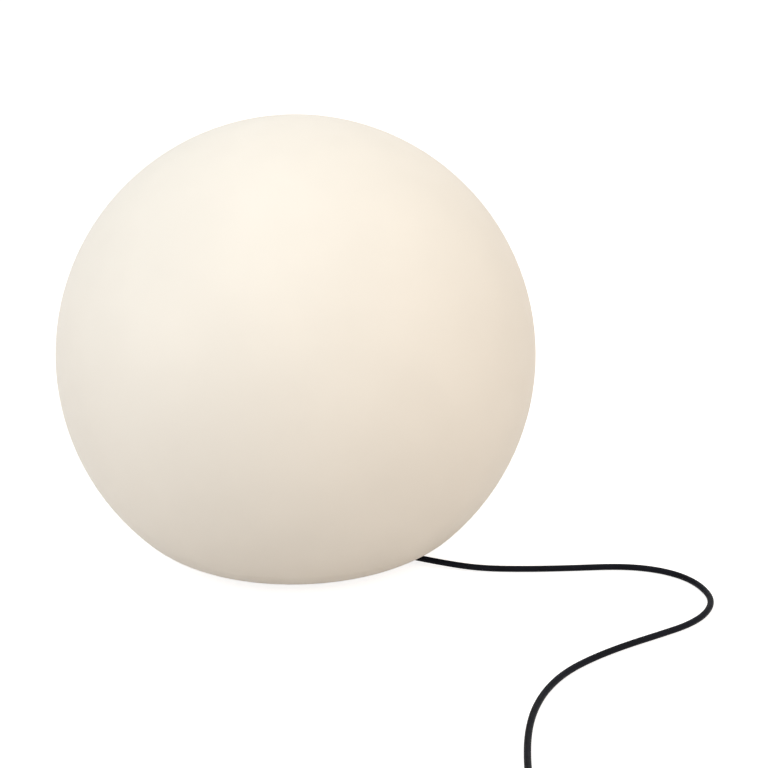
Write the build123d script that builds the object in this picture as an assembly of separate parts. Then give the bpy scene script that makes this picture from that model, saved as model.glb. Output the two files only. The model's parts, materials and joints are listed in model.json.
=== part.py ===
from build123d import *

import os
from math import acos, cos, degrees, pi, radians, sin, sqrt, tan

# Garden globe light: a rotomoulded ball that stands on a base screwed into its underside, with a
# lampholder and a lamp inside, and a rubber lead with a plug.
# Millimetres, +Z up. The origin is on the ground, under the middle of the ball.
# The ball, the base and the lamp are drawn with the lead leaving along +X, and then turned by
# lead_azimuth. The free lead is drawn where it lies.

# ---------------------------------------------------------------- ball
ball_radius = 250.0
ball_flattening = 43.0  # what the flat underside takes off the ball's height
ball_wall = 4.0
rim_lift = 1.5  # the flat underside runs this far above the ground, and the feet carry the lamp
rim_width = 10.0  # flat ring round the pocket
rim_round = 3.0
recess_radius = 95.0  # pocket in the underside that takes the base
seat_width = 23.0  # ledge in the pocket, from its wall to the neck that the lamp goes through
seat_round = 3.0
channel_gap = 1.2  # the lead's groove in the underside is wider than its boot by this, all round

# ---------------------------------------------------------------- base cover
cover_gap = 2.0  # between the cover and the pocket's wall
plate_thickness = 4.0
skirt_wall = 3.0
skirt_lift = 4.0
spigot_gap = 0.6  # the ring that centres the ball in its neck
spigot_wall = 3.0
spigot_rise = 4.0  # above the neck's inner edge
rib_thickness = 2.4
rib_depth = 12.0
rib_count = 8  # evenly round the well, less the one where the lead is
well_radius = 25.0  # closed cup under the plate, where the lead comes in
well_wall = 3.5
well_lift = 3.0
gasket_thickness = 2.5
gasket_inset = 4.0  # from the pocket's wall, and a quarter of it from the neck

# ---------------------------------------------------------------- fasteners and feet of the base
station_angle = 22.5  # screws stand this far to one side of the lead, feet to the other
station_count = 4
screw_radius = 2.5
screw_head_radius = 4.7
screw_head_height = 3.4
screw_tip_gap = 1.3  # under the blind end of the insert's thread
washer_radius = 5.2
washer_thickness = 1.0
screw_boss_wall = 2.4
screw_boss_lift = 6.0
screw_shelf = 6.0  # plastic under the plate that the washer bears on
hole_clearance = 0.4
thread_clearance = 0.3  # radial, where the real thread is drawn plain
insert_radius = 4.5
insert_length = 13.0
insert_flange = 1.2
insert_wall = 2.1  # plastic round an insert's flange
insert_cap = 3.0  # plastic over the blind end of an insert
foot_radius = 8.5
foot_stem_radius = 4.0
foot_stem_length = 7.0
foot_boss_wall = 1.3  # the boss is wider than the foot by this
foot_inset = 12.0  # from the cover's edge to the middle of a foot
fit = 0.1  # radial, between pieces that are pushed into one another
bearing_gap = 0.3  # between pieces that move on one another
overlap = 1.0  # what a cut or a joined shape reaches beyond the face it meets

# ---------------------------------------------------------------- lead and its boot
lead_azimuth = -30.0  # degrees from +X, where the lead leaves the ball
cord_radius = 3.2
cord_fit = 0.05
gland_run = 12.0  # straight lead out of the gland before it bends down
jacket_tail = 3.0  # jacket that shows in the well
boot_tip_wall = 0.8  # rubber round the lead at the boot's tip, its neck and its collars
boot_neck_wall = 1.6
boot_collar_wall = 2.6
boot_collar_width = 2.6
boot_length = 45.0  # outside the cover
boot_lift = 0.2  # between the collars and the ground
boot_grooves = 6
boot_groove_depth = 0.7
boot_groove_width = 2.2
notch_clearance = 0.2
core_radius = 1.2
core_gap = 0.3

# ---------------------------------------------------------------- cable gland
seal_wall = 1.4  # rubber between the lead and the gland
seal_length = 9.0
seal_rise = 1.0  # what the seal stands out of the gland, for the nut to press on
gland_wall = 1.3  # round the seal
gland_hex_wall = 1.5  # from the thread to the flats of the hexagons
gland_floor_gap = 0.34  # from the hexagons' corners to the well's floor
gland_ceiling = 9.5  # from the gland's axis to the plate
gland_flat = 2.5  # depth of the flat on the well that the gland seals on
gland_panel = 4.0  # thickness of the wall behind that flat
gland_washer_thickness = 1.2
gland_hex_length = 5.0
gland_neck_length = 9.0
gland_tail_length = 2.5  # thread beyond the locknut
locknut_length = 4.0
gland_nut_wall = 1.2
gland_nut_overlap = 8.0
gland_nut_nose = 5.0

# ---------------------------------------------------------------- lamp, E27 cap
lamp_thread_radius = 13.1
lamp_cap_wall = 0.5
lamp_cap_height = 20.0
lamp_cap_shoulder = 2.0
lamp_tip_radius = 4.6
lamp_tip_height = 2.0
lamp_tip_rim = 1.0
lamp_insulator_height = 4.0
lamp_insulator_inset = 2.6  # from the thread
lamp_plug_depth = 8.0  # of the lamp's body in its cap
lamp_body_height = 36.0
lamp_body_wall = 2.0
lamp_body_rim = 0.9  # the body is wider than the bulb's edge by this
lamp_flare_rise = 16.0  # height above the cap at which the flare is taken
lamp_flare = 4.6  # what the body has widened by there
bulb_radius = 30.0
bulb_wall = 1.5
bulb_rise = 17.0  # the bulb's middle above the lamp's body
board_thickness = 1.6
board_ledge = 1.0
led_size = 3.0
led_height = 0.8
led_inset = 8.0  # from the board's edge
led_count = 10
driver_thickness = 1.6
driver_gap = 2.0  # from the board's edges to the lamp's body
transformer_size = (8.0, 11.0, 10.0)
capacitor_radius = 4.0
capacitor_height = 15.0

# ---------------------------------------------------------------- lampholder
pillar_height = 37.0  # above the plate
pillar_foot_width = 11.0
pillar_foot_thickness = 3.5
pillar_wall = 3.2
pillar_top_thickness = 4.0
pillar_gussets = 6  # evenly round the foot, with a screw between every other two
pillar_screw_count = 3
pillar_screw_inset = 5.0  # from the foot's edge
pillar_screw_radius = 2.0
pillar_screw_length = 12.0
pillar_screw_head_radius = 3.8
pillar_screw_head_height = 2.6
pillar_slot_length = 4.0
pillar_slot_width = 1.0
pillar_boss_wall = 2.6
nipple_room = 1.05  # between the cores and the nipple's bore
nipple_wall = 1.4
nipple_tail = 2.5
nipple_nut_wall = 2.0
nipple_nut_height = 3.5
sleeve_wall = 1.0
sleeve_lip_height = 4.0  # from the terminal block to the sleeve
sleeve_lip = 2.0
block_margin = 0.6  # the terminal block is wider than the sleeve by this
block_height = 13.0
block_chamfer = 1.0
block_ledge = 1.0
holder_wall = 2.4
collar_wall = 2.0  # of the body's collar, which screws into the cap
collar_depth = 6.0
holder_floor = 8.0
holder_floor_slope = 2.0
wiring_room = 6.0  # between the cap's floor and the terminal block
holder_cap_rise = 10.0  # of the cap beside the terminal block
holder_cap_cone = (7.0, 10.0)  # how far the cap's foot draws in, and over what height
holder_edge = 1.0  # bevel of the body's mouth, and what the sleeve stops short of it
grip_radius = 0.8
grip_lift = 3.0
grip_count = 24
terminal_inset = 6.0
terminal_screw_radius = 1.5
terminal_screw_cover = 5.0
terminal_head_radius = 2.6
terminal_head_height = 2.4
terminal_slot_width = 0.8
contact_thickness = 0.6
contact_width = 5.0
contact_length = 20.0
contact_rise = 1.6

# ---------------------------------------------------------------- free lead and plug
coil_middle = (159.0, -592.0)
coil_outer_radius = 45.0
coil_gap = 1.8  # between two turns beside each other
coil_layer_gap = 0.7
coil_half_turns_in = 4
coil_half_turns_out = 3
coil_end_run = 12.0
pin_radius = 2.4
pin_length = 19.0
pin_root = 6.0  # length held in the plug, on a thinner neck
pin_root_radius = 2.0
pin_spacing = 19.0
pin_chamfer = 0.8
plug_boot_length = 30.0
plug_boot_wall = 3.2  # rubber round the lead where the boot joins the plug
plug_margin = 8.5  # from a pin's axis to the plug's side
plug_length = 34.0
plug_grip_width = 22.0
plug_grip_length = 14.0
plug_waist = 1.5  # what the grip narrows by on each side
plug_flare = 8.0
plug_edge = 4.0

# ---------------------------------------------------------------- levels and radii that follow
# The base is as deep as the gland in its well needs, and the ball's pocket as deep as the base.
boot_tip_radius = cord_radius + boot_tip_wall
boot_neck_radius = cord_radius + boot_neck_wall
boot_collar_radius = cord_radius + boot_collar_wall
boot_height = boot_collar_radius + boot_lift
channel_radius = boot_collar_radius + channel_gap
seal_radius = cord_radius + seal_wall
gland_thread_radius = seal_radius + fit + gland_wall
gland_flats = 2 * (gland_thread_radius + gland_hex_wall)
well_floor = well_lift + well_wall
gland_height = well_floor + gland_floor_gap + gland_flats / sqrt(3)
plate_low = gland_height + gland_ceiling
plate_top = plate_low + plate_thickness
seat_z = plate_top + gasket_thickness
gland_face = well_radius - gland_flat
gland_start = gland_face - gland_panel - locknut_length - gland_tail_length
gland_neck_low = gland_face + gland_washer_thickness + gland_hex_length
gland_neck_top = gland_neck_low + gland_neck_length
gland_mouth = gland_neck_top + gland_nut_nose
jacket_end = gland_start - jacket_tail

flat_radius = recess_radius + rim_width
corner_ring = (flat_radius**2 / ball_flattening + ball_flattening) / 2
base_corner_radius = ball_radius - corner_ring  # round from the ball into its flat underside
ball_centre_z = rim_lift + ball_radius - ball_flattening
corner_centre_z = rim_lift + base_corner_radius
neck_radius = recess_radius - seat_width
cover_radius = recess_radius - cover_gap
skirt_inner = cover_radius - skirt_wall
spigot_radius = neck_radius - spigot_gap
spigot_top = seat_z + ball_wall + spigot_rise
boot_end = cover_radius + boot_length

screw_circle = (neck_radius + recess_radius) / 2
screw_angles = [station_angle + 360 / station_count * k for k in range(station_count)]
screw_boss_radius = washer_radius + hole_clearance + screw_boss_wall
shelf_z = plate_low - screw_shelf
insert_blind_z = seat_z + insert_length - insert_flange
insert_boss_radius = insert_radius + insert_flange + insert_wall
foot_circle = cover_radius - foot_inset
foot_angles = [-station_angle + 360 / station_count * k for k in range(station_count)]
foot_boss_radius = foot_radius + foot_boss_wall

core_spacing = 2 * core_radius + core_gap
nipple_bore_radius = core_spacing / 2 + core_radius + nipple_room
nipple_radius = nipple_bore_radius + nipple_wall
sleeve_inner = lamp_thread_radius + bearing_gap
sleeve_outer = sleeve_inner + sleeve_wall
sleeve_length = lamp_cap_height + lamp_insulator_height
block_radius = sleeve_outer + block_margin
holder_radius = block_radius + collar_wall + 2 * bearing_gap + holder_wall
terminal_offset = block_radius - terminal_inset
terminal_screw_length = block_height - terminal_screw_cover
pillar_low_radius = well_radius
pillar_top_radius = holder_radius
pillar_foot_radius = pillar_low_radius + pillar_foot_width
pillar_screw_circle = pillar_foot_radius - pillar_screw_inset
pillar_screw_angles = [
    360 / pillar_gussets + 360 / pillar_screw_count * k for k in range(pillar_screw_count)
]
pillar_boss_radius = pillar_screw_radius + pillar_boss_wall
pillar_low = plate_top + pillar_foot_thickness
pillar_top = plate_top + pillar_height
holder_floor_z = pillar_top + holder_floor
block_low = holder_floor_z + wiring_room
block_top = block_low + block_height
holder_cap_top = block_low + holder_cap_rise
sleeve_low = block_top + sleeve_lip_height
sleeve_top = sleeve_low + sleeve_length
holder_top = sleeve_top + holder_edge
contact_top = block_top + contact_thickness + contact_rise

lamp_low = contact_top + bearing_gap
lamp_insulator_low = lamp_low + lamp_tip_height
lamp_insulator_radius = lamp_thread_radius - lamp_insulator_inset
lamp_cap_low = lamp_insulator_low + lamp_insulator_height
lamp_cap_top = lamp_cap_low + lamp_cap_height
lamp_body_top = lamp_cap_top + lamp_body_height
bulb_centre_z = lamp_body_top + bulb_rise
bulb_rim_radius = sqrt(bulb_radius**2 - bulb_rise**2)
lamp_body_radius = bulb_rim_radius + lamp_body_rim
lamp_plug_radius = lamp_thread_radius - lamp_cap_wall - fit
lamp_bore_radius = lamp_plug_radius - lamp_body_wall
board_low = lamp_body_top - led_height - board_thickness
board_radius = bulb_rim_radius - bulb_wall - fit

coil_pitch = 2 * cord_radius + coil_gap
coil_top_z = 3 * cord_radius + coil_layer_gap
plug_boot_radius = cord_radius + plug_boot_wall
plug_width = pin_spacing + 2 * plug_margin
lead_start = (
    boot_end * cos(radians(lead_azimuth)),
    boot_end * sin(radians(lead_azimuth)),
    boot_height,
)

BOTTOM = (Align.CENTER, Align.CENTER, Align.MIN)


# ---------------------------------------------------------------- shapes used by many parts
def disc(radius, low, high):
    """Upright cylinder between two heights."""
    return Pos(0, 0, low) * Cylinder(radius, high - low, align=BOTTOM)


def ring(outer, inner, low, high):
    return disc(outer, low, high) - disc(inner, low - overlap, high + overlap)


def hexagon(flats, low, high):
    return Pos(0, 0, low) * extrude(RegularPolygon(flats / 2, 6, major_radius=False), high - low)


def turned(*points):
    """Solid of revolution about Z, from the (radius, height) corners of its half section."""
    section = make_face(Polyline(*points, close=True))
    return revolve(Plane.XZ * section, Axis.Z)


def stand(shape, radius, angles):
    """A copy of the shape at each angle of a circle."""
    return [
        Pos(radius * cos(radians(a)), radius * sin(radians(a)), 0) * shape for a in angles
    ]


def along_x(shape, start, height):
    """Lays a shape drawn upright from z = 0 along +X, starting at x = start."""
    return Pos(start, 0, height) * Rot(0, 90, 0) * shape


def arch(radius, crown_z, start, end):
    """A block along +X that is open below and round at its top."""
    middle = crown_z - radius
    section = Pos(0, middle) * Circle(radius)
    section += Pos(0, middle) * Rectangle(2 * radius, middle + 1, align=(Align.CENTER, Align.MAX))
    return extrude(Plane.YZ.offset(start) * section, end - start)


# ---------------------------------------------------------------- ball
def ball_section(inset):
    """Half section of the ball, or of its cavity when inset by the wall, with the neck still closed."""
    radius = ball_radius - inset
    corner = base_corner_radius - inset
    wall = recess_radius + inset
    ceiling = seat_z + inset
    seat_corner = seat_round + inset
    seat_x, seat_y = recess_radius - seat_round, seat_z - seat_round
    turn = degrees(acos((ball_centre_z - corner_centre_z) / (ball_radius - base_corner_radius)))
    sphere = CenterArc((0, ball_centre_z), radius, turn - 90, 180 - turn)
    side = CenterArc((flat_radius, corner_centre_z), corner, -90, turn)
    bottom = rim_lift + inset
    if inset:
        rim = [Line((flat_radius, bottom), (wall, bottom)), Line((wall, bottom), (wall, seat_y))]
    else:
        rim = [
            Line((flat_radius, bottom), (wall + rim_round, bottom)),
            CenterArc((wall + rim_round, bottom + rim_round), rim_round, 180, 90),
            Line((wall, bottom + rim_round), (wall, seat_y)),
        ]
    seat = CenterArc((seat_x, seat_y), seat_corner, 0, 90)
    inner = Line((seat_x, ceiling), (0, ceiling))
    axis = Line((0, ceiling), (0, ball_centre_z + radius))
    return Plane.XZ * make_face([sphere, side, *rim, seat, inner, axis])


def channel(inset):
    """The lead's groove in the underside, or the block that keeps the cavity off it."""
    radius = channel_radius + inset
    return arch(radius, boot_height + radius, neck_radius, flat_radius + base_corner_radius)


def globe_shell():
    boss = disc(insert_boss_radius, seat_z, seat_z + insert_length + insert_cap)
    cavity = revolve(ball_section(ball_wall), Axis.Z) - channel(ball_wall)
    cavity -= stand(boss, screw_circle, screw_angles)
    shell = revolve(ball_section(0), Axis.Z) - channel(0) - cavity
    shell -= disc(neck_radius, seat_z - overlap, seat_z + ball_wall + overlap)
    shell -= stand(insert_body(insert_length), screw_circle, screw_angles)
    return shell


def insert_body(length):
    body = disc(insert_radius, seat_z, seat_z + length)
    return body + disc(insert_radius + insert_flange, seat_z, seat_z + insert_flange)


def insert_bushes():
    bush = insert_body(insert_length)
    bush -= disc(screw_radius + thread_clearance, seat_z - overlap, insert_blind_z)
    return stand(bush, screw_circle, screw_angles)


# ---------------------------------------------------------------- base
def base_cover():
    spigot_inner = spigot_radius - spigot_wall
    cover = turned(
        (0, well_lift),
        (well_radius, well_lift),
        (well_radius, plate_low),
        (skirt_inner, plate_low),
        (skirt_inner, skirt_lift),
        (cover_radius, skirt_lift),
        (cover_radius, plate_top),
        (spigot_radius, plate_top),
        (spigot_radius, spigot_top),
        (spigot_inner, spigot_top),
        (spigot_inner, plate_top),
        (0, plate_top),
    )
    rib_length = skirt_inner - well_radius + 2 * overlap
    rib = Pos(well_radius - overlap, 0, plate_low - rib_depth) * Box(
        rib_length, rib_thickness, rib_depth + overlap, align=(Align.MIN, Align.CENTER, Align.MIN)
    )
    cover += [Rot(0, 0, 360 / rib_count * k) * rib for k in range(1, rib_count)]
    cover += stand(disc(screw_boss_radius, screw_boss_lift, plate_low), screw_circle, screw_angles)
    cover += stand(disc(foot_boss_radius, skirt_lift, plate_low), foot_circle, foot_angles)
    pillar_boss = disc(pillar_boss_radius, plate_low - pillar_screw_length, plate_low)
    cover += stand(pillar_boss, pillar_screw_circle, pillar_screw_angles)

    bore = disc(screw_radius + hole_clearance, shelf_z - overlap, plate_top + overlap)
    bore += disc(washer_radius + hole_clearance, screw_boss_lift - overlap, shelf_z)
    cover -= stand(bore, screw_circle, screw_angles)
    socket = disc(foot_stem_radius + fit, skirt_lift - overlap, skirt_lift + foot_stem_length)
    cover -= stand(socket, foot_circle, foot_angles)
    pilot_low = plate_top + pillar_foot_thickness - pillar_screw_length
    pilot = disc(pillar_screw_radius + fit, pilot_low, plate_top + overlap)
    cover -= stand(pilot, pillar_screw_circle, pillar_screw_angles)

    well_height = plate_top - well_floor
    inner_flat = Pos(gland_face - gland_panel, 0, well_floor) * Box(
        well_radius, 2 * well_radius, well_height, align=(Align.MIN, Align.CENTER, Align.MIN)
    )
    outer_flat = Pos(gland_face, 0, 0) * Box(
        well_radius, 2 * well_radius, plate_low, align=(Align.MIN, Align.CENTER, Align.MIN)
    )
    outer_flat &= disc(well_radius + overlap, 0, plate_low)
    cover -= disc(well_radius - well_wall, well_floor, plate_top + overlap) - inner_flat
    cover -= outer_flat
    gland_hole = Cylinder(gland_thread_radius + fit, 2 * gland_panel)
    cover -= along_x(gland_hole, gland_face - gland_panel / 2, gland_height)
    notch_radius = boot_neck_radius + notch_clearance
    notch_start = skirt_inner - skirt_wall
    cover -= arch(notch_radius, boot_height + notch_radius, notch_start, cover_radius + overlap)
    return cover


def cover_gasket():
    gasket = ring(recess_radius - gasket_inset, neck_radius + gasket_inset / 4, plate_top, seat_z)
    hole = disc(screw_radius + 2 * hole_clearance, plate_top - overlap, seat_z + overlap)
    return gasket - stand(hole, screw_circle, screw_angles)


def cover_screws():
    head_top = shelf_z - washer_thickness
    head_low = head_top - screw_head_height
    tip = insert_blind_z - screw_tip_gap
    head = disc(screw_head_radius, head_low, head_top)
    head = fillet(head.edges().group_by(Axis.Z)[0], screw_head_height / 3)
    socket = hexagon(screw_head_radius, head_low - overlap, head_low + screw_head_height / 2)
    screw = head - socket + disc(screw_radius, head_top, tip)
    return stand(screw, screw_circle, screw_angles)


def screw_washers():
    washer = ring(
        washer_radius, screw_radius + hole_clearance, shelf_z - washer_thickness, shelf_z
    )
    return stand(washer, screw_circle, screw_angles)


def rubber_feet():
    pad = disc(foot_radius, 0, skirt_lift)
    pad = chamfer(pad.edges().group_by(Axis.Z)[0], skirt_lift / 4)
    pad += disc(foot_stem_radius, skirt_lift, skirt_lift + foot_stem_length - fit)
    return stand(pad, foot_circle, foot_angles)


# ---------------------------------------------------------------- cable gland
def gland_washer():
    washer = ring(gland_flats / 2, gland_thread_radius + fit, 0, gland_washer_thickness)
    return along_x(washer, gland_face, gland_height)


def gland_body():
    hex_low = gland_face + gland_washer_thickness - gland_start
    neck_low = gland_neck_low - gland_start
    neck_top = gland_neck_top - gland_start
    body = disc(gland_thread_radius, 0, neck_top)
    body += hexagon(gland_flats, hex_low, neck_low)
    body -= disc(cord_radius + hole_clearance, -overlap, neck_top + overlap)
    body -= disc(seal_radius + fit, neck_top - seal_length + seal_rise, neck_top + overlap)
    return along_x(body, gland_start, gland_height)


def gland_locknut():
    nut = hexagon(gland_flats, 0, locknut_length) - disc(
        gland_thread_radius + fit, -overlap, locknut_length + overlap
    )
    return along_x(nut, gland_face - gland_panel - locknut_length, gland_height)


def gland_seal():
    seal = ring(seal_radius, cord_radius + cord_fit, 0, seal_length)
    return along_x(seal, gland_neck_top - seal_length + seal_rise, gland_height)


def gland_nut():
    """Hexagon with a domed nose that presses the seal on the lead."""
    length = gland_nut_overlap + gland_nut_nose
    inner = gland_thread_radius + fit
    nut = hexagon(gland_flats, 0, gland_nut_overlap)
    nut += turned(
        (0, gland_nut_overlap),
        (gland_flats / 2, gland_nut_overlap),
        (gland_flats / 2 - gland_nut_wall, length - gland_nut_wall),
        (cord_radius + 2 * gland_nut_wall, length),
        (0, length),
    )
    nut -= disc(inner, -overlap, gland_nut_overlap + gland_nut_wall)
    nut -= disc(cord_radius + hole_clearance, 0, length + overlap)
    return along_x(nut, gland_mouth - length, gland_height)


# ---------------------------------------------------------------- lead in the base
def tube(path, radius):
    """Round bar along a path of straight runs and tangent arcs."""
    section = Plane(origin=path @ 0, z_dir=path % 0) * Circle(radius)
    return sweep(section, path)


def cord_inner():
    """From its stripped end in the well, through the gland, down to the ground and out of the boot."""
    drop = gland_height - boot_height
    bend_start = gland_mouth + gland_run
    points = [
        (jacket_end, 0, gland_height),
        (bend_start, 0, gland_height),
        (bend_start + gland_run + drop, 0, boot_height),
        (boot_end, 0, boot_height),
    ]
    return tube(rounded_route(points), cord_radius)


def cord_boot():
    """Rubber strain relief: two collars grip the notch in the skirt, and a grooved taper follows."""
    inner_collar = skirt_inner - notch_clearance
    outer_collar = cover_radius + notch_clearance
    taper_start = outer_collar + boot_collar_width
    boot = turned(
        (cord_radius + cord_fit, inner_collar - boot_collar_width),
        (boot_collar_radius, inner_collar - boot_collar_width),
        (boot_collar_radius, inner_collar),
        (boot_neck_radius, inner_collar),
        (boot_neck_radius, outer_collar),
        (boot_collar_radius, outer_collar),
        (boot_collar_radius, taper_start),
        (boot_neck_radius, taper_start),
        (boot_tip_radius, boot_end),
        (cord_radius + cord_fit, boot_end),
    )
    step = (boot_end - taper_start) / (boot_grooves + 1)
    for k in range(1, boot_grooves + 1):
        middle = taper_start + k * step
        taper = boot_neck_radius + (boot_tip_radius - boot_neck_radius) * k / (boot_grooves + 1)
        low, high = middle - boot_groove_width / 2, middle + boot_groove_width / 2
        boot -= ring(boot_collar_radius + overlap, taper - boot_groove_depth, low, high)
    return along_x(boot, 0, boot_height)


def core(side):
    """Insulated core from the lead's stripped end up the pillar to its terminal."""
    y = side * core_spacing / 2
    top = block_low - core_radius - fit
    terminal = side * (terminal_offset - terminal_head_radius - fit)
    points = [(jacket_end, y, gland_height), (0, y, gland_height), (0, y, top), (0, terminal, top)]
    bends = [jacket_end * 0.9, 2.2 * core_radius]
    return tube(FilletPolyline(*points, radius=bends), core_radius)


# ---------------------------------------------------------------- lampholder
def holder_pillar():
    inner_low = pillar_low_radius - pillar_wall
    inner_top = pillar_top_radius - pillar_wall
    hole = nipple_radius + fit
    pillar = turned(
        (inner_low, plate_top),
        (pillar_foot_radius, plate_top),
        (pillar_foot_radius, pillar_low),
        (pillar_low_radius, pillar_low),
        (pillar_top_radius, pillar_top),
        (hole, pillar_top),
        (hole, pillar_top - pillar_top_thickness),
        (inner_top, pillar_top - pillar_top_thickness),
        (inner_low, pillar_low),
    )
    inset = (pillar_low_radius - pillar_top_radius) / 2
    gusset_face = make_face(
        Polyline(
            (pillar_low_radius - inset, pillar_low - overlap),
            (pillar_foot_radius - overlap, pillar_low - overlap),
            (pillar_foot_radius - overlap, pillar_low),
            (pillar_low_radius - inset, (pillar_low + pillar_top) / 2),
            close=True,
        )
    )
    gusset = extrude(Plane.XZ * gusset_face, rib_thickness / 2, both=True)
    gusset_step = 360 / pillar_gussets
    pillar += [Rot(0, 0, gusset_step * (k + 1 / 2)) * gusset for k in range(pillar_gussets)]
    hole = disc(pillar_screw_radius + hole_clearance, plate_top - overlap, pillar_low + overlap)
    return pillar - stand(hole, pillar_screw_circle, pillar_screw_angles)


def pillar_screws():
    head = disc(pillar_screw_head_radius, pillar_low, pillar_low + pillar_screw_head_height)
    head = fillet(head.edges().group_by(Axis.Z)[-1], pillar_screw_head_height / 3)
    slot_z = pillar_low + pillar_screw_head_height
    slot = Box(pillar_slot_length, pillar_slot_width, pillar_screw_head_height)
    for turn in (0, 90):
        head -= Pos(0, 0, slot_z) * Rot(0, 0, turn) * slot
    screw = head + disc(pillar_screw_radius, pillar_low - pillar_screw_length + fit, pillar_low)
    return stand(screw, pillar_screw_circle, pillar_screw_angles)


def nipple():
    plate_bottom = pillar_top - pillar_top_thickness
    low = plate_bottom - nipple_nut_height - nipple_tail
    return ring(nipple_radius, nipple_bore_radius, low, holder_floor_z)


def nipple_nut():
    top = pillar_top - pillar_top_thickness
    nut = hexagon(2 * (nipple_radius + nipple_nut_wall), top - nipple_nut_height, top)
    return nut - disc(nipple_radius + fit, top - nipple_nut_height - overlap, top + overlap)


def holder_cap():
    inner = holder_radius - holder_wall
    ledge = block_radius - block_ledge
    hole = nipple_radius + fit
    draw, rise = holder_cap_cone
    return turned(
        (hole, pillar_top),
        (holder_radius - draw, pillar_top),
        (holder_radius, pillar_top + rise),
        (holder_radius, holder_cap_top),
        (inner, holder_cap_top),
        (inner, block_low),
        (ledge, block_low),
        (ledge, holder_floor_z + holder_floor_slope),
        (ledge - holder_floor_slope, holder_floor_z),
        (hole, holder_floor_z),
    )


def holder_body():
    """Sleeve of the lampholder: a collar screws into the cap, and the lamp's thread goes in on top."""
    low = holder_cap_top
    collar_inner = block_radius + bearing_gap
    collar_outer = collar_inner + collar_wall
    bore = sleeve_outer + fit
    lip = bore - sleeve_lip
    body = turned(
        (collar_inner, low - collar_depth),
        (collar_outer, low - collar_depth),
        (collar_outer, low),
        (holder_radius, low),
        (holder_radius, holder_top - holder_edge),
        (holder_radius - holder_edge, holder_top),
        (bore, holder_top),
        (bore, sleeve_low),
        (lip, sleeve_low),
        (lip, block_top + fit),
        (collar_inner, block_top + fit),
    )
    grip = Pos(holder_radius, 0, low + grip_lift) * Cylinder(grip_radius, sleeve_length, align=BOTTOM)
    return body - [Rot(0, 0, 360 / grip_count * k) * grip for k in range(grip_count)]


def terminal_block():
    block = disc(block_radius, block_low, block_top)
    block = chamfer(block.edges().group_by(Axis.Z)[-1], block_chamfer)
    screw_hole = disc(
        terminal_screw_radius + fit, block_low - overlap, block_low + terminal_screw_length + fit
    )
    return block - stand(screw_hole, terminal_offset, [90, 270])


def terminal_screws():
    head = disc(terminal_head_radius, block_low - terminal_head_height, block_low)
    slot = Box(4 * terminal_head_radius, terminal_slot_width, terminal_head_height)
    slot = Pos(0, 0, block_low - terminal_head_height) * slot
    screw = head - slot + disc(terminal_screw_radius, block_low, block_low + terminal_screw_length)
    return stand(screw, terminal_offset, [90, 270])


def centre_contact():
    """Leaf spring on the block, bowed up under the lamp's tip."""
    half = contact_length / 2
    low, high = block_top, contact_top - contact_thickness
    leaf = make_face(
        Polyline(
            (-half, low),
            (-half / 2, low),
            (-half / 4, high),
            (half / 4, high),
            (half / 2, low),
            (half, low),
            (half, low + contact_thickness),
            (half / 2, low + contact_thickness),
            (half / 4, contact_top),
            (-half / 4, contact_top),
            (-half / 2, low + contact_thickness),
            (-half, low + contact_thickness),
            close=True,
        )
    )
    return extrude(Plane.XZ * leaf, contact_width / 2, both=True)


def thread_sleeve():
    return ring(sleeve_outer, sleeve_inner, sleeve_low, sleeve_top)


# ---------------------------------------------------------------- lamp
def lamp_tip():
    tip = disc(lamp_tip_radius, lamp_low, lamp_insulator_low)
    return chamfer(tip.edges().group_by(Axis.Z)[0], lamp_tip_height / 3)


def lamp_insulator():
    return turned(
        (0, lamp_insulator_low),
        (lamp_tip_radius + lamp_tip_rim, lamp_insulator_low),
        (lamp_insulator_radius, lamp_cap_low),
        (0, lamp_cap_low),
    )


def lamp_cap():
    """Screw shell, drawn without its thread."""
    inner = lamp_thread_radius - lamp_cap_wall
    shoulder = lamp_cap_low + lamp_cap_shoulder
    return turned(
        (0, lamp_cap_low),
        (lamp_insulator_radius, lamp_cap_low),
        (lamp_thread_radius, shoulder),
        (lamp_thread_radius, lamp_cap_top),
        (inner, lamp_cap_top),
        (inner, shoulder + lamp_cap_wall),
        (0, shoulder + lamp_cap_wall),
    )


def lamp_housing():
    """Flared body between the cap and the bulb, with a plug that goes into the cap."""
    plug, bore = lamp_plug_radius, lamp_bore_radius
    shoulder = lamp_thread_radius + bearing_gap
    flare_z = lamp_cap_top + lamp_flare_rise
    flare = shoulder + lamp_flare
    outer = ThreePointArc((shoulder, lamp_cap_top), (flare, flare_z), (lamp_body_radius, lamp_body_top))
    inner_top = bulb_rim_radius - bulb_wall
    ledge = inner_top - board_ledge
    inner = ThreePointArc(
        (ledge, board_low), (flare - lamp_body_wall, flare_z), (bore, lamp_cap_top)
    )
    plug_low = lamp_cap_top - lamp_plug_depth
    section = [
        outer,
        Polyline(
            (lamp_body_radius, lamp_body_top),
            (inner_top, lamp_body_top),
            (inner_top, board_low),
            (ledge, board_low),
        ),
        inner,
        Polyline((bore, lamp_cap_top), (bore, plug_low), (plug, plug_low), (plug, lamp_cap_top)),
        Line((plug, lamp_cap_top), (shoulder, lamp_cap_top)),
    ]
    return revolve(Plane.XZ * make_face(section), Axis.Z)


def lamp_board():
    return disc(board_radius, board_low, board_low + board_thickness)


def lamp_leds():
    led = Pos(0, 0, board_low + board_thickness) * Box(led_size, led_size, led_height, align=BOTTOM)
    angles = [360 / led_count * k for k in range(led_count)]
    return stand(led, board_radius - led_inset, angles)


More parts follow.
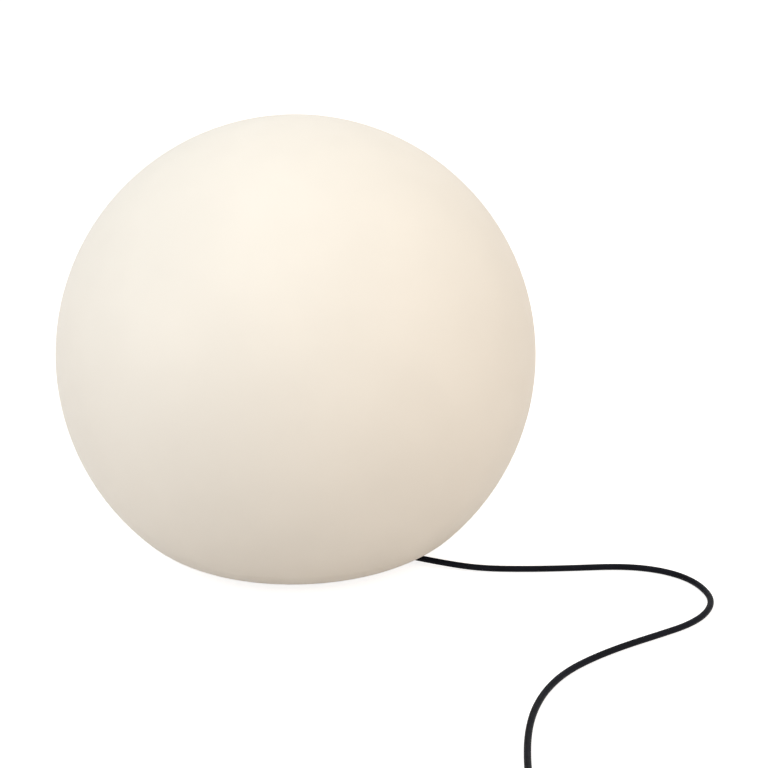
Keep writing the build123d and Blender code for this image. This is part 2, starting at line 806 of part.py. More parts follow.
def lamp_driver():
    """Upright circuit board with its capacitor and transformer."""
    low = lamp_cap_top - lamp_plug_depth
    width = 2 * (lamp_bore_radius - driver_gap)
    board = Pos(0, 0, low) * Box(driver_thickness, width, board_low - low, align=BOTTOM)
    middle = (low + board_low) / 2
    transformer = Pos(driver_thickness / 2, 0, middle) * Box(
        *transformer_size, align=(Align.MIN, Align.CENTER, Align.MIN)
    )
    capacitor = Pos(-capacitor_radius, 0, middle) * Cylinder(capacitor_radius, capacitor_height)
    return board + transformer + capacitor


def lamp_bulb():
    """Opal dome on the body's rim."""
    dome = Sphere(bulb_radius) - Sphere(bulb_radius - bulb_wall)
    dome -= Pos(0, 0, -bulb_rise) * Box(
        2 * bulb_radius, 2 * bulb_radius, 2 * bulb_radius, align=(Align.CENTER, Align.CENTER, Align.MAX)
    )
    return Pos(0, 0, bulb_centre_z) * dome


# ---------------------------------------------------------------- free lead
def rounded_route(points):
    """Straight runs joined by arcs, each as large as its two runs allow."""
    corners = [Vector(*p) for p in points]
    radii = []
    for before, corner, after in zip(corners, corners[1:], corners[2:]):
        run_in, run_out = corner - before, after - corner
        half_turn = radians(run_in.get_angle(run_out) / 2)
        radii.append(0.45 * min(run_in.length, run_out.length) / tan(half_turn))
    return FilletPolyline(*points, radius=radii)


def lead_points():
    """Where the lead lies, from the boot to the coil. All but the first two are on the ground."""
    out_x, out_y, out_z = lead_start
    first_run = 30.0
    ground = cord_radius
    heading = radians(lead_azimuth)
    coil_x = coil_middle[0] + coil_outer_radius
    return [
        lead_start,
        (out_x + first_run * cos(heading), out_y + first_run * sin(heading), out_z),
        (186.0, -98.5, ground),
        (232.0, -103.0, ground),
        (282.0, -101.3, ground),
        (330.0, -98.0, ground),
        (365.0, -106.5, ground),
        (391.0, -126.5, ground),
        (407.0, -154.0, ground),
        (413.0, -187.0, ground),
        (402.0, -217.0, ground),
        (381.0, -242.0, ground),
        (350.0, -263.0, ground),
        (316.0, -285.0, ground),
        (283.0, -308.0, ground),
        (255.0, -335.0, ground),
        (234.0, -368.0, ground),
        (219.0, -407.0, ground),
        (210.0, -449.0, ground),
        (205.5, -494.0, ground),
        (coil_x, -540.0, ground),
        (coil_x, coil_middle[1] + 2 * cord_radius, ground),
    ]


def biarc(start, start_way, end, end_way):
    """Two arcs that leave along one direction and arrive along another, smooth where they meet."""
    gap = end - start
    both = start_way + end_way
    share = 2 * (1 - start_way.dot(end_way))
    reach = (-gap.dot(both) + sqrt(gap.dot(both) ** 2 + share * gap.dot(gap))) / share
    middle = (start + start_way * reach + end - end_way * reach) * 0.5
    way = (end - end_way * reach - start - start_way * reach).normalized()
    return Edge.make_tangent_arc(start, start_way, middle), Edge.make_tangent_arc(middle, way, end)


def coil_path():
    """Flat spiral in, a climb of one layer in the half turn where it reverses, and a spiral out."""
    middle = Vector(*coil_middle)
    step = coil_pitch / 2
    inner = coil_outer_radius - step * coil_half_turns_in
    radii = [coil_outer_radius - step * k for k in range(coil_half_turns_in + 1)]
    radii += [inner + step * k for k in range(coil_half_turns_out + 2)]
    heights = [cord_radius] * (coil_half_turns_in + 1) + [coil_top_z] * (coil_half_turns_out + 2)
    nodes = [
        (
            middle + Vector((-1) ** k * radius, 0, height),
            Vector(0, -((-1) ** k), 0),
        )
        for k, (radius, height) in enumerate(zip(radii, heights))
    ]
    start, start_way = nodes[0]
    edges = [Edge.make_line(start - start_way * 2 * cord_radius, start)]
    for (point, way), (after, after_way) in zip(nodes, nodes[1:]):
        edges += biarc(point, way, after, after_way)
    edges.pop()  # the lead leaves in the middle of the last half turn
    end, end_way = edges[-1] @ 1, edges[-1] % 1
    edges.append(Edge.make_line(end, end + end_way * coil_end_run))
    return Wire(edges)


def least_gap(path, apart):
    """Least gap of a tube to itself, between points further apart along it than the given length."""
    steps = 600
    points = [path @ (k / steps) for k in range(steps + 1)]
    skip = int(apart / path.length * steps) + 1
    nearest = min(
        (points[a] - points[b]).length for a in range(steps) for b in range(a + skip, steps + 1)
    )
    return nearest - 2 * cord_radius


# ---------------------------------------------------------------- plug, at the end of the coil
def plug_frame():
    """Plane at the coil's end, with Z along the lead's way and Y up."""
    path = coil_path()
    return Plane(origin=path @ 1, x_dir=Vector(0, 0, 1).cross(path % 1) * -1, z_dir=path % 1)


def plug_boot():
    boot = turned(
        (0, 0),
        (boot_tip_radius, 0),
        (plug_boot_radius, plug_boot_length),
        (0, plug_boot_length),
    )
    step = plug_boot_length / (boot_grooves + 1)
    for k in range(1, boot_grooves + 1):
        low, high = k * step - boot_groove_width / 2, k * step + boot_groove_width / 2
        taper = boot_tip_radius + (plug_boot_radius - boot_tip_radius) * k / (boot_grooves + 1)
        boot -= ring(plug_boot_radius + overlap, taper - boot_groove_depth, low, high)
    return plug_frame().location * boot


def plug_body():
    """Flat two-pin plug: a waisted grip that widens to the face with the pins."""
    half, grip = plug_width / 2, plug_grip_width / 2
    waist = grip - plug_waist
    back, face = plug_boot_length, plug_boot_length + plug_length
    grip_end = back + plug_grip_length
    side = [
        (grip, back),
        (waist, back + plug_grip_length / 2),
        (grip, grip_end),
        (half, grip_end + plug_flare),
        (half, face),
    ]
    outline = make_face(Polyline(*side, *[(-x, z) for x, z in reversed(side)], close=True))
    body = extrude(Plane.XZ * outline, coil_top_z, both=True)
    upright = body.edges().filter_by(Axis.Y)
    body = fillet(upright, plug_edge / 2)
    rims = body.faces().filter_by(Axis.Y)
    body = chamfer(rims.edges(), plug_edge / 4)
    for side in (-1, 1):
        hole = disc(pin_root_radius + fit, face - pin_root, face + overlap)
        body -= Pos(side * pin_spacing / 2, 0, 0) * hole
    return plug_frame().location * body


def plug_pins():
    face = plug_boot_length + plug_length
    pin = disc(pin_radius, face, face + pin_length)
    pin = chamfer(pin.edges().group_by(Axis.Z)[-1], pin_chamfer)
    pin += disc(pin_root_radius, face - pin_root + fit, face)
    place = plug_frame().location
    return [place * Pos(side * pin_spacing / 2, 0, 0) * pin for side in (-1, 1)]


# ---------------------------------------------------------------- all parts
TURNED = {
    "globe_shell": globe_shell,
    "insert_bushes": insert_bushes,
    "base_cover": base_cover,
    "cover_gasket": cover_gasket,
    "cover_screws": cover_screws,
    "screw_washers": screw_washers,
    "rubber_feet": rubber_feet,
    "gland_washer": gland_washer,
    "gland_body": gland_body,
    "gland_locknut": gland_locknut,
    "gland_seal": gland_seal,
    "gland_nut": gland_nut,
    "cord_inner": cord_inner,
    "cord_boot": cord_boot,
    "core_live": lambda: core(1),
    "core_neutral": lambda: core(-1),
    "holder_pillar": holder_pillar,
    "pillar_screws": pillar_screws,
    "nipple": nipple,
    "nipple_nut": nipple_nut,
    "holder_cap": holder_cap,
    "holder_body": holder_body,
    "terminal_block": terminal_block,
    "terminal_screws": terminal_screws,
    "centre_contact": centre_contact,
    "thread_sleeve": thread_sleeve,
    "lamp_tip": lamp_tip,
    "lamp_insulator": lamp_insulator,
    "lamp_cap": lamp_cap,
    "lamp_housing": lamp_housing,
    "lamp_board": lamp_board,
    "lamp_leds": lamp_leds,
    "lamp_driver": lamp_driver,
    "lamp_bulb": lamp_bulb,
}
LYING = {
    "cord_lead": lambda: tube(rounded_route(lead_points()), cord_radius),
    "cord_coil": lambda: tube(coil_path(), cord_radius),
    "plug_boot": plug_boot,
    "plug_body": plug_body,
    "plug_pins": plug_pins,
}


def write(name, shape, place):
    solids = shape if isinstance(shape, list) else [shape]
    solids = [place * solid for piece in solids for solid in piece.solids()]
    export_step(Compound(children=solids), f"parts/{name}.step")


def report_lead():
    """Prints the lead's bends, lengths and volumes, and how near the coil comes to itself."""
    lead, coil = rounded_route(lead_points()), coil_path()
    bends = [edge.radius for edge in lead.edges() if edge.geom_type == GeomType.CIRCLE]
    print("lead bend radii", [round(r) for r in bends])
    print("coil bend radii", [round(e.radius) for e in coil.edges() if e.geom_type == GeomType.CIRCLE])
    section = pi * cord_radius**2
    for name, path in (("lead", lead), ("coil", coil)):
        volume = tube(path, cord_radius).volume
        print(name, "length", round(path.length, 1), "volume / (section x length)",
              round(volume / section / path.length, 4))
    print("least gap of the coil to itself", round(least_gap(coil, pi * coil_outer_radius / 2), 2))


os.makedirs("parts", exist_ok=True)
for name, make in TURNED.items():
    write(name, make(), Rot(0, 0, lead_azimuth))
for name, make in LYING.items():
    write(name, make(), Location())
report_lead()
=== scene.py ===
"""Looks of the garden globe light: lead, threads, plug, materials, floor, light and camera.

Lengths are in metres, in the part's own frame: +Z up, the ground at z = 0, the ball over the origin.
"""

import json
from math import cos, pi, radians, sin, tau

import bpy
from mathutils import Matrix, Vector


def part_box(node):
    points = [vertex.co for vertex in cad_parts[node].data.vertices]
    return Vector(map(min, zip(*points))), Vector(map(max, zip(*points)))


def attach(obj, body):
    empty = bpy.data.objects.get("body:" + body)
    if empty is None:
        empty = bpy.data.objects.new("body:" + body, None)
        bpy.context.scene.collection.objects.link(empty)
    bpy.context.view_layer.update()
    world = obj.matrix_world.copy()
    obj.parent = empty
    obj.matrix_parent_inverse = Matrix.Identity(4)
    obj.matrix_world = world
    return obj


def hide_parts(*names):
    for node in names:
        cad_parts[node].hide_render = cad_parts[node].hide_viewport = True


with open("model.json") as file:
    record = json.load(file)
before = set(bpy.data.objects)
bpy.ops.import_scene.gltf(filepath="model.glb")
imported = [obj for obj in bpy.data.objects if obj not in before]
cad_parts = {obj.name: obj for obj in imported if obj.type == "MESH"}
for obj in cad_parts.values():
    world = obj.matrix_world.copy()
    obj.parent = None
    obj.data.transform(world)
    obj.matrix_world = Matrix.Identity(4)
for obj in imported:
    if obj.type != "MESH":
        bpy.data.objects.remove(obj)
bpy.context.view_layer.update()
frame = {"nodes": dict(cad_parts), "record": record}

nodes = frame["nodes"]
MM = 0.001

# ---------------------------------------------------------------- camera
PHOTO_SIZE = 768
BALL_IN_PHOTO = (296.95, 354.6)  # the ball's middle, in pixels from the top left corner
CAMERA_PITCH = radians(17.57)  # looks down
CAMERA_ROLL = radians(-0.88)
CAMERA_DISTANCE = 2.0  # to the ball's middle
FOCAL_PIXELS = 1903.0
SENSOR = 36.0


def make_camera(target):
    """Places the camera so that the target is at its place in the photo."""
    forward = Vector((0, cos(CAMERA_PITCH), -sin(CAMERA_PITCH)))
    level = Vector((1, 0, 0))
    upright = level.cross(forward)
    right = level * cos(CAMERA_ROLL) + upright * sin(CAMERA_ROLL)
    up = upright * cos(CAMERA_ROLL) - level * sin(CAMERA_ROLL)
    across = (BALL_IN_PHOTO[0] - PHOTO_SIZE / 2) / FOCAL_PIXELS
    down = (BALL_IN_PHOTO[1] - PHOTO_SIZE / 2) / FOCAL_PIXELS
    sight = (forward + right * across - up * down).normalized()
    data = bpy.data.cameras.new("camera")
    data.sensor_width = SENSOR
    data.lens = FOCAL_PIXELS / PHOTO_SIZE * SENSOR
    camera = bpy.data.objects.new("camera", data)
    bpy.context.scene.collection.objects.link(camera)
    turned = Matrix((right, up, -forward)).transposed().to_4x4()
    camera.matrix_world = Matrix.Translation(target - sight * CAMERA_DISTANCE) @ turned
    bpy.context.scene.camera = camera


BALL_RADIUS = 0.25
ball_middle = Vector((0, 0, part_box("globe_shell")[1].z - BALL_RADIUS))
make_camera(ball_middle)

# ---------------------------------------------------------------- the free lead
CORD_RADIUS = 3.2 * MM
CURVE_SIDES = 6  # bevel resolution of the lead's section
CURVE_STEPS = 8  # between two points of the route
# the route's own values, in millimetres
BOOT_END = 138.0  # from the ball's axis
BOOT_HEIGHT = 6.0
LEAD_HEADING = radians(-30.0)
FIRST_RUN = 30.0  # straight out of the boot
LEAD_ON_GROUND = [
    (186.0, -95.0),
    (232.0, -99.0),
    (282.0, -98.3),
    (330.0, -95.5),
    (365.0, -103.5),
    (392.0, -122.5),
    (407.5, -149.5),
    (413.0, -183.5),
    (402.0, -215.0),
    (380.5, -240.5),
    (349.0, -261.5),
    (314.5, -283.5),
    (283.0, -307.5),
    (255.0, -335.0),
    (234.0, -368.0),
    (219.0, -407.0),
    (210.0, -449.0),
    (205.5, -494.0),
    (204.0, -540.0),
]
COIL_MIDDLE = (159.0, -592.0)
COIL_OUTER_RADIUS = 45.0
COIL_STEP = 4.1  # the spiral's pitch in half a turn
COIL_RISE = 7.1  # from the lower layer to the upper
COIL_HALF_TURNS = 8.5
COIL_IN = 4  # half turns that spiral in before the climb, which takes one more
COIL_END_RUN = 12.0  # straight to the plug's boot
POINTS_PER_HALF_TURN = 12


def coil_point(half_turns):
    """Point of the coil's two layers after so many half turns, which run clockwise from +X."""
    climb = min(max(half_turns - COIL_IN, 0), 1)
    wound_in = min(half_turns, COIL_IN)
    wound_out = max(half_turns - COIL_IN - 1, 0)
    radius = COIL_OUTER_RADIUS - COIL_STEP * (wound_in - wound_out)
    angle = -pi * half_turns
    return (
        COIL_MIDDLE[0] + radius * cos(angle),
        COIL_MIDDLE[1] + radius * sin(angle),
        CORD_RADIUS / MM + COIL_RISE * (1 - cos(pi * climb)) / 2,
    )


def lead_route():
    """Out of the boot, down to the ground, along it, and round the coil to the plug's boot."""
    out = Vector((cos(LEAD_HEADING), sin(LEAD_HEADING), 0))
    start = out * BOOT_END + Vector((0, 0, BOOT_HEIGHT))
    route = [start, start + out * FIRST_RUN]
    route += [Vector((x, y, CORD_RADIUS / MM)) for x, y in LEAD_ON_GROUND]
    turns = int(COIL_HALF_TURNS * POINTS_PER_HALF_TURN)
    route += [Vector(coil_point(k / POINTS_PER_HALF_TURN)) for k in range(turns + 1)]
    route.append(route[-1] - Vector((COIL_END_RUN, 0, 0)))
    return [point * MM for point in route]


def make_lead():
    """Smooth line of the free lead and its coil, with the plug's pieces on its end."""
    route = lead_route()
    data = bpy.data.curves.new("lead", "CURVE")
    data.dimensions = "3D"
    data.bevel_depth = 1.0  # times each point's radius
    data.bevel_resolution = CURVE_SIDES
    data.resolution_u = CURVE_STEPS
    data.use_fill_caps = True
    spline = data.splines.new("NURBS")
    spline.points.add(len(route) - 1)
    for point, place in zip(spline.points, route):
        point.co = (*place, 1)
        point.radius = CORD_RADIUS
    spline.order_u = 3
    spline.use_endpoint_u = True
    lead = bpy.data.objects.new("lead", data)
    bpy.context.scene.collection.objects.link(lead)
    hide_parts("cord_lead", "cord_coil")
    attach(lead, "base")
    return lead


# ---------------------------------------------------------------- threads of the lamp and its holder
THREAD_PITCH = 3.629 * MM
THREAD_DEPTH = 0.9 * MM
THREAD_AROUND = 96
THREAD_ROWS_PER_PITCH = 12
THREAD_CLEARANCE = 0.3 * MM
THREAD_WALL = 0.4 * MM
CAP_WALL = 0.5 * MM
CAP_SHOULDER = 2.0 * MM


def turn_angles(count):
    return [tau * i / count for i in range(count)]


def grid_mesh(name, rows, closed_ends=True):
    """Mesh of rings of points, one ring after the other, each with as many points."""
    count = len(rows[0])
    verts = [point for row in rows for point in row]
    faces = []
    for k in range(len(rows) - 1):
        for i in range(count):
            j = (i + 1) % count
            faces.append((k * count + i, k * count + j, (k + 1) * count + j, (k + 1) * count + i))
    if closed_ends:
        last = (len(rows) - 1) * count
        faces.append(tuple(reversed(range(count))))
        faces.append(tuple(last + i for i in range(count)))
    mesh = bpy.data.meshes.new(name)
    mesh.from_pydata(verts, [], faces)
    mesh.validate()
    mesh.polygons.foreach_set("use_smooth", [len(p.vertices) == 4 for p in mesh.polygons])
    piece = bpy.data.objects.new(name, mesh)
    bpy.context.scene.collection.objects.link(piece)
    return piece


def thread_offset(angle, height, low, high):
    """How deep the rolled thread is at a point, from 0 to THREAD_DEPTH, fading out at both ends."""
    wave = (1 + cos(tau * height / THREAD_PITCH - angle)) / 2
    fade = min(1, (height - low) / THREAD_PITCH, (high - height) / THREAD_PITCH)
    return THREAD_DEPTH * wave * max(fade, 0)


def ring_at(height, radius_at):
    return [
        (radius_at(angle) * cos(angle), radius_at(angle) * sin(angle), height)
        for angle in turn_angles(THREAD_AROUND)
    ]


def thread_rows(low, high, radius, thread_low, thread_high, inward=0.0):
    """Rings of a rolled shell from low to high, drawn in from the radius by the thread and inward."""
    steps = max(int((high - low) / THREAD_PITCH * THREAD_ROWS_PER_PITCH), 2)
    rows = []
    for k in range(steps + 1):
        height = low + (high - low) * k / steps

        def radius_at(angle, height=height):
            return radius - inward - thread_offset(angle, height, thread_low, thread_high)

        rows.append(ring_at(height, radius_at))
    return rows


def make_lamp_cap():
    """Screw shell with its rolled thread, open at the top."""
    low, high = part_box("lamp_cap")
    radius = high.x
    shoulder = low.z + CAP_SHOULDER
    thread = (shoulder, high.z - CAP_SHOULDER)
    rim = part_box("lamp_insulator")[1].x
    rows = [ring_at(low.z, lambda angle: rim)]
    rows += thread_rows(shoulder, high.z, radius, *thread)
    rows += reversed(thread_rows(shoulder + CAP_WALL, high.z, radius, *thread, CAP_WALL))
    cap = grid_mesh("lamp_cap_threaded", rows)
    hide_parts("lamp_cap")
    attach(cap, "lamp")
    return cap


def make_thread_sleeve():
    """Thin threaded sleeve in the lampholder, which the lamp's thread runs in."""
    low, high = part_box("thread_sleeve")
    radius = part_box("lamp_cap")[1].x + THREAD_CLEARANCE
    inner = thread_rows(low.z, high.z, radius, low.z, high.z)
    outer = thread_rows(low.z, high.z, radius, low.z, high.z, -THREAD_WALL)
    sleeve = grid_mesh("thread_sleeve_rolled", [*inner, *reversed(outer), inner[0]], closed_ends=False)
    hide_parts("thread_sleeve")
    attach(sleeve, "base")
    return sleeve


lamp_cap = make_lamp_cap()
thread_sleeve = make_thread_sleeve()

# ---------------------------------------------------------------- the plug's moulded body
PLUG_HALF_WIDTHS = [(0, 11), (7, 9.5), (14, 11), (22, 18), (34, 18)]  # millimetres from its boot
PLUG_ROWS_PER_MM = 3  # on average, and more at the ends
PLUG_AROUND = 96
PLUG_SQUARENESS = 5.0  # 2 is an ellipse, and more comes nearer to a rectangle
PLUG_END_ROUND = 2.2 * MM
GROOVES = (3.0, 13.0)  # where the finger grooves begin and end, in millimetres from the boot
GROOVE_PITCH = 2.5
GROOVE_DEPTH = 0.45 * MM


def eased(x, stations):
    """Value at x between stations, with a level run through each of them."""
    for (x0, v0), (x1, v1) in zip(stations, stations[1:]):
        if x <= x1:
            return v0 + (v1 - v0) * (1 - cos(pi * (x - x0) / (x1 - x0))) / 2
    return stations[-1][1]


def end_inset(distance):
    """How far the section draws in at this distance from an end, so that the end is round."""
    short = max(PLUG_END_ROUND - distance, 0)
    return PLUG_END_ROUND - (PLUG_END_ROUND**2 - short**2) ** 0.5


def groove_inset(x):
    """How deep the finger grooves are at so many millimetres from the boot."""
    start, end = GROOVES
    if not start < x < end:
        return 0
    return GROOVE_DEPTH * (1 - cos(tau * (x - start) / GROOVE_PITCH)) / 2


def squared(value):
    """Cosine or sine of a rounded rectangle's angle."""
    return (1 if value >= 0 else -1) * abs(value) ** (2 / PLUG_SQUARENESS)


def make_plug_body():
    """Grip with finger grooves, which widens smoothly to the face with the pins."""
    low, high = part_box("plug_body")
    middle = (low + high) / 2
    length = high.x - low.x
    half_height = (high.z - low.z) / 2
    steps = round(length / MM * PLUG_ROWS_PER_MM)
    around = [(squared(cos(angle)), squared(sin(angle))) for angle in turn_angles(PLUG_AROUND)]
    rows = []
    for k in range(steps + 1):
        x = length * (1 - cos(pi * k / steps)) / 2
        inset = end_inset(x) + end_inset(length - x)
        width = eased(x / MM, PLUG_HALF_WIDTHS) * MM - inset
        height = half_height - inset - groove_inset(x / MM)
        rows.append([(high.x - x, middle.y + width * a, middle.z + height * b) for a, b in around])
    plug = grid_mesh("plug_body_moulded", rows)
    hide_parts("plug_body")
    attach(plug, "base")
    return plug


plug = make_plug_body()
lead = make_lead()

# ---------------------------------------------------------------- materials
NOISE_LOW, NOISE_HIGH = 0.3, 0.7  # where nearly all of a noise's values lie
BOARD_CELLS_PER_METRE = 420


class Surface:
    """A procedural material, built round one Principled BSDF in the object's own coordinates."""

    def __init__(self, name, colour, roughness, **sockets):
        self.material = bpy.data.materials.new(name)
        self.material.use_nodes = True
        self.tree = self.material.node_tree
        self.shader = self.tree.nodes["Principled BSDF"]
        self.colour = colour
        self.roughness = roughness
        self.shader.inputs["Base Color"].default_value = (*colour, 1)
        self.shader.inputs["Roughness"].default_value = roughness
        for socket, value in sockets.items():
            self.shader.inputs[socket.replace("_", " ")].default_value = value
        self.place = self.add("ShaderNodeTexCoord").outputs["Object"]
        self.height = None

    def add(self, kind, **settings):
        node = self.tree.nodes.new(kind)
        for key, value in settings.items():
            setattr(node, key, value)
        return node

    def link(self, source, target):
        self.tree.links.new(source, target)

    def scaled(self, scale):
        """The object's own coordinates, times the scale."""
        mapping = self.add("ShaderNodeMapping")
        mapping.inputs["Scale"].default_value = scale
        self.link(self.place, mapping.inputs["Vector"])
        return mapping.outputs["Vector"]

    def noise(self, size, detail=3.0, stretch=(1, 1, 1)):
        """Noise whose spots are about the given size in metres."""
        node = self.add("ShaderNodeTexNoise")
        node.inputs["Scale"].default_value = 1 / size
        node.inputs["Detail"].default_value = detail
        self.link(self.scaled(stretch), node.inputs["Vector"])
        return node.outputs["Fac"]

    def ramp(self, factor, low, high, start, end):
        """Colour that runs from low to high as the factor goes from start to end."""
        node = self.add("ShaderNodeValToRGB")
        first, last = node.color_ramp.elements
        first.position, last.position = start, end
        first.color, last.color = (*low, 1), (*high, 1)
        self.link(factor, node.inputs["Fac"])
        return node.outputs["Color"]

    def tint(self, factor, dark, light, start=0.35, end=0.65):
        """Lets the base colour vary between a darker and a lighter share of itself."""
        low = [c * dark for c in self.colour]
        high = [min(c * light, 1) for c in self.colour]
        self.link(self.ramp(factor, low, high, start, end), self.shader.inputs["Base Color"])

    def wear(self, factor, spread):
        """Lets the roughness vary about its value by the spread."""
        node = self.add("ShaderNodeMapRange")
        node.inputs["To Min"].default_value = max(self.roughness - spread, 0)
        node.inputs["To Max"].default_value = min(self.roughness + spread, 1)
        node.inputs["From Min"].default_value = NOISE_LOW
        node.inputs["From Max"].default_value = NOISE_HIGH
        self.link(factor, node.inputs["Value"])
        self.link(node.outputs["Result"], self.shader.inputs["Roughness"])

    def bump(self, factor, depth):
        """Adds relief of the given depth in metres, on top of any added before."""
        node = self.add("ShaderNodeBump")
        node.inputs["Distance"].default_value = depth
        self.link(factor, node.inputs["Height"])
        if self.height:
            self.link(self.height, node.inputs["Normal"])
        self.height = node.outputs["Normal"]
        self.link(self.height, self.shader.inputs["Normal"])


def opal_polyethylene():
    """Rotomoulded shell: warm white, faintly cloudy and uneven, with the mould's fine grain."""
    s = Surface("opal_polyethylene", (0.901, 0.841, 0.751), 0.60, Specular_IOR_Level=0.35)
    s.tint(s.noise(0.11, 2.0), 0.985, 1.012)
    s.wear(s.noise(0.02), 0.05)
    s.bump(s.noise(0.09, 1.0), 0.00035)
    s.bump(s.noise(0.0035, 2.0), 0.00004)
    return s.material


def rubber(name, colour, roughness=0.5, grain=0.0006, depth=0.00003):
    """Matt moulded rubber, a little cloudy."""
    s = Surface(name, colour, roughness, Specular_IOR_Level=0.22)
    s.tint(s.noise(0.014), 0.8, 1.4)
    s.wear(s.noise(0.006), 0.10)
    s.bump(s.noise(grain, 2.0), depth)
    return s.material


def cable_rubber():
    """Sheath with a satin skin, faint scuffs and a little dust."""
    s = Surface("cable_rubber", (0.0036, 0.0040, 0.0068), 0.55, Specular_IOR_Level=0.07)
    s.tint(s.noise(0.02), 0.75, 1.6)
    s.wear(s.noise(0.005), 0.09)
    s.bump(s.noise(0.0011, 3.0), 0.00004)
    return s.material


def moulded(name, colour, roughness=0.45, grain=0.0009, depth=0.00002):
    """Moulded plastic or porcelain with a fine grain."""
    s = Surface(name, colour, roughness)
    s.tint(s.noise(0.03), 0.96, 1.04)
    s.wear(s.noise(0.008), 0.06)
    s.bump(s.noise(grain, 2.0), depth)
    return s.material


def metal(name, colour, roughness, stretch=(1, 1, 6)):
    """Turned or drawn metal: fine lines round the piece, and small marks."""
    s = Surface(name, colour, roughness, Metallic=1.0)
    s.tint(s.noise(0.004), 0.86, 1.08)
    s.wear(s.noise(0.003, 4.0, stretch), 0.12)
    s.bump(s.noise(0.0012, 3.0, stretch), 0.00001)
    return s.material


def circuit_board():
    """Green laminate with a maze of tracks just under the mask."""
    s = Surface("driver_board", (0.035, 0.17, 0.065), 0.35)
    cells = s.add("ShaderNodeTexVoronoi", distance="MANHATTAN", feature="F1")
    cells.inputs["Scale"].default_value = BOARD_CELLS_PER_METRE
    s.link(s.place, cells.inputs["Vector"])
    s.tint(cells.outputs["Distance"], 0.7, 1.5, 0.2, 0.5)
    s.bump(cells.outputs["Distance"], 0.00003)
    return s.material


def opal_dome():
    """Frosted dome of the LED lamp."""
    s = Surface("lamp_opal_plastic", (0.90, 0.90, 0.88), 0.35, Specular_IOR_Level=0.5)
    s.tint(s.noise(0.02), 0.985, 1.01)
    s.wear(s.noise(0.01), 0.05)
    s.bump(s.noise(0.0016), 0.00001)
    return s.material


LINES_ROUND_Z = (1, 1, 8)
MATERIALS = {
    "opal_polyethylene": opal_polyethylene(),
    "brass": metal("brass", (0.72, 0.52, 0.22), 0.32),
    "grey_plastic": moulded("grey_plastic", (0.085, 0.087, 0.09), 0.5),
    "gasket_rubber": rubber("gasket_rubber", (0.02, 0.02, 0.02), 0.8, 0.0012, 0.00008),
    "stainless_steel": metal("stainless_steel", (0.58, 0.58, 0.59), 0.30),
    "foot_rubber": rubber("foot_rubber", (0.03, 0.03, 0.03), 0.65),
    "gland_plastic": moulded("gland_plastic", (0.02, 0.02, 0.022), 0.4),
    "cable_rubber": cable_rubber(),
    "boot_rubber": rubber("boot_rubber", (0.0055, 0.0058, 0.0080), 0.5),
    "brown_insulation": moulded("brown_insulation", (0.10, 0.035, 0.015), 0.35),
    "blue_insulation": moulded("blue_insulation", (0.02, 0.10, 0.38), 0.35),
    "zinc_plated_steel": metal("zinc_plated_steel", (0.55, 0.57, 0.60), 0.35),
    "holder_plastic": moulded("holder_plastic", (0.80, 0.78, 0.72), 0.38),
    "porcelain": moulded("porcelain", (0.84, 0.82, 0.77), 0.30, 0.0005),
    "contact_bronze": metal("contact_bronze", (0.68, 0.42, 0.22), 0.28, (1, 6, 1)),
    "sleeve_metal": metal("sleeve_metal", (0.66, 0.66, 0.66), 0.30, LINES_ROUND_Z),
    "lamp_tip_metal": metal("lamp_tip_metal", (0.62, 0.62, 0.62), 0.38),
    "lamp_glass_black": moulded("lamp_glass_black", (0.012, 0.012, 0.014), 0.18),
    "nickel_plated_brass": metal("nickel_plated_brass", (0.66, 0.64, 0.60), 0.26, LINES_ROUND_Z),
    "lamp_white_plastic": moulded("lamp_white_plastic", (0.82, 0.82, 0.80), 0.32),
    "board_aluminium": moulded("board_aluminium", (0.80, 0.80, 0.78), 0.40),
    "led_yellow": moulded("led_yellow", (0.78, 0.52, 0.05), 0.35, 0.0004),
    "driver_board": circuit_board(),
    "lamp_opal_plastic": opal_dome(),
    "plug_rubber": rubber("plug_rubber", (0.0060, 0.0062, 0.0082), 0.5, 0.0008, 0.00004),
    "pin_metal": metal("pin_metal", (0.66, 0.64, 0.60), 0.24, (6, 1, 1)),
}


def dress(piece, material):
    piece.data.materials.clear()
    piece.data.materials.append(material)


for entry in frame["record"]["subparts"]:
    dress(nodes[entry["node"]], MATERIALS[entry["material_slot"]])
dress(lead, MATERIALS["cable_rubber"])
dress(lamp_cap, MATERIALS["nickel_plated_brass"])
dress(thread_sleeve, MATERIALS["sleeve_metal"])
dress(plug, MATERIALS["plug_rubber"])

# ---------------------------------------------------------------- floor, light and background
FLOOR_SIZE = 12.0
FLOOR_DEPTH = 0.0005  # below the feet
FLOOR_GLOW = 0.80  # what the camera sees of the floor without any light on it
FLOOR_COLOUR = (0.62, 0.60, 0.585)
WORLD_COLOUR = (1.0, 0.96, 0.92)
WORLD_STRENGTH = 0.44
LAMP_SIZE = 3.0
LAMPS = {  # place, watts, colour
    "top": (Vector((-0.25, -1.0, 3.2)), 37.0, (0.845, 0.95, 1.0)),
    "front": (Vector((-0.3, -3.5, 1.3)), 20.5, (1.0, 0.94, 0.88)),
    "left": (Vector((-3.0, -1.2, 1.6)), 38.5, (0.89, 0.94, 1.0)),
    "right": (Vector((3.0, -1.6, 2.0)), 45.0, (1.0, 0.87, 0.74)),
    "back": (Vector((0.3, 2.6, 2.4)), 13.5, (1.0, 1.0, 1.0)),
}


def seen_directly(tree):
    """1 for what the camera sees straight on, in a mirror or through glass, and 0 otherwise."""
    path = tree.nodes.new("ShaderNodeLightPath")
    total = path.outputs["Is Camera Ray"]
    for name in ("Is Glossy Ray", "Is Transmission Ray"):
        add = tree.nodes.new("ShaderNodeMath")
        add.operation = "ADD"
        add.use_clamp = True
        tree.links.new(total, add.inputs[0])
        tree.links.new(path.outputs[name], add.inputs[1])
        total = add.outputs[0]
    return total


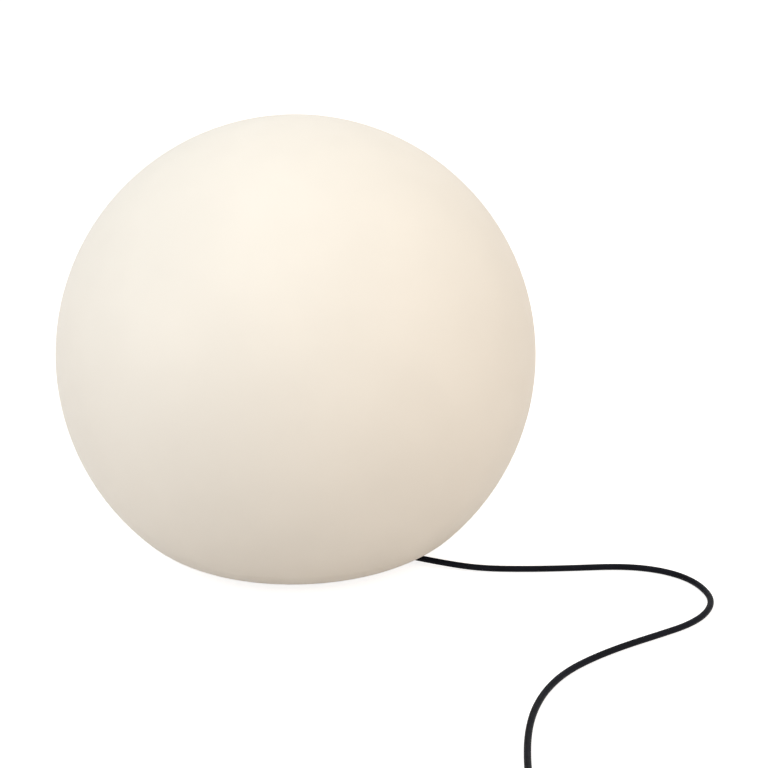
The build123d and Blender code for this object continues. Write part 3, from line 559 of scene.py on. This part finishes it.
def make_floor():
    """Pale floor that looks white to the camera and keeps the shadow."""
    bpy.ops.mesh.primitive_plane_add(size=FLOOR_SIZE, location=(0, 0, -FLOOR_DEPTH))
    floor = bpy.context.object
    floor.name = "floor"
    material = bpy.data.materials.new("floor")
    material.use_nodes = True
    tree = material.node_tree
    shader = tree.nodes["Principled BSDF"]
    shader.inputs["Base Color"].default_value = (*FLOOR_COLOUR, 1)
    shader.inputs["Roughness"].default_value = 1.0
    shader.inputs["Specular IOR Level"].default_value = 0.0
    glow = tree.nodes.new("ShaderNodeEmission")
    scale = tree.nodes.new("ShaderNodeMath")
    scale.operation = "MULTIPLY"
    scale.inputs[1].default_value = FLOOR_GLOW
    tree.links.new(seen_directly(tree), scale.inputs[0])
    tree.links.new(scale.outputs[0], glow.inputs["Strength"])
    both = tree.nodes.new("ShaderNodeAddShader")
    tree.links.new(shader.outputs[0], both.inputs[0])
    tree.links.new(glow.outputs[0], both.inputs[1])
    tree.links.new(both.outputs[0], tree.nodes["Material Output"].inputs["Surface"])
    dress(floor, material)


def make_world():
    """Soft light from all sides, which the camera and mirrors see as white."""
    world = bpy.data.worlds.new("studio")
    bpy.context.scene.world = world
    world.use_nodes = True
    tree = world.node_tree
    lit = tree.nodes["Background"]
    lit.inputs["Color"].default_value = (*WORLD_COLOUR, 1)
    lit.inputs["Strength"].default_value = WORLD_STRENGTH
    seen = tree.nodes.new("ShaderNodeBackground")
    seen.inputs["Color"].default_value = (1, 1, 1, 1)
    mix = tree.nodes.new("ShaderNodeMixShader")
    tree.links.new(seen_directly(tree), mix.inputs["Fac"])
    tree.links.new(lit.outputs[0], mix.inputs[1])
    tree.links.new(seen.outputs[0], mix.inputs[2])
    tree.links.new(mix.outputs[0], tree.nodes["World Output"].inputs["Surface"])


def make_lamp(name, place, power, colour):
    """Large square lamp that shines at the ball's middle."""
    data = bpy.data.lights.new(name, "AREA")
    data.size = LAMP_SIZE
    data.energy = power
    data.color = colour
    light = bpy.data.objects.new(name, data)
    bpy.context.scene.collection.objects.link(light)
    light.location = place
    light.rotation_euler = (ball_middle - place).to_track_quat("-Z", "Y").to_euler()


make_floor()
make_world()
for name, (place, power, colour) in LAMPS.items():
    make_lamp(name, place, power, colour)
bpy.context.scene.view_settings.view_transform = "Standard"

bpy.context.view_layer.update()
